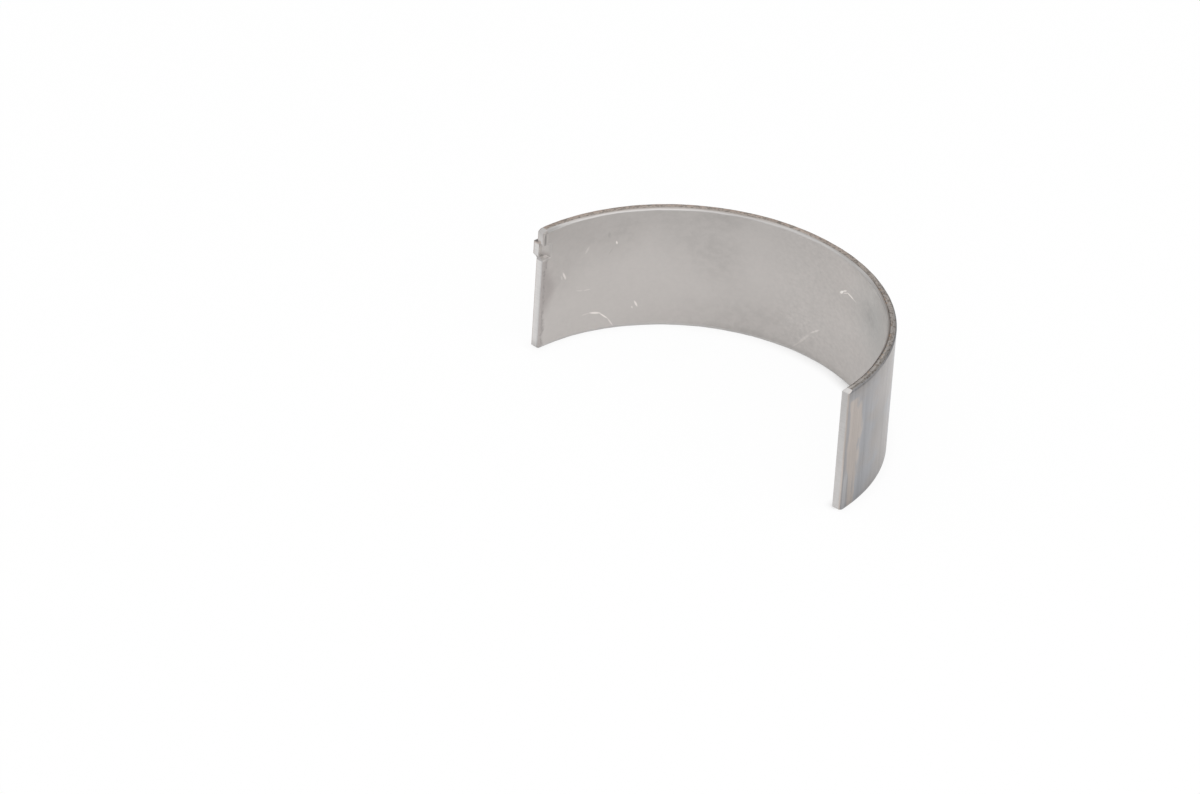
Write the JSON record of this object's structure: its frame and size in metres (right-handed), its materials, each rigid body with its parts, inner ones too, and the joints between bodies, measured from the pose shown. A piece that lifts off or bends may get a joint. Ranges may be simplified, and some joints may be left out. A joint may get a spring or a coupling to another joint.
{
  "type": "engine bearing shell",
  "caption": "Thin half-round plain bearing shell with chamfered ends, bevelled parting faces and a pressed locating lug, lining the big-end bore of a connecting rod.",
  "frame": {"origin": "on the bore axis at mid-length", "axes": "+Z along the bore axis, +Y to the crown of the arc, X across the parting faces, with the lug at the -X end nearer the +Z edge"},
  "size_m": [0.069, 0.033, 0.0228],
  "materials": {
    "shell_metal": "satin grey lining, heat-tinted brushed steel back, bright cut parting faces"
  },
  "bodies": {
    "root": {"bearing_shell": "shell_metal"}
  },
  "joints": []
}
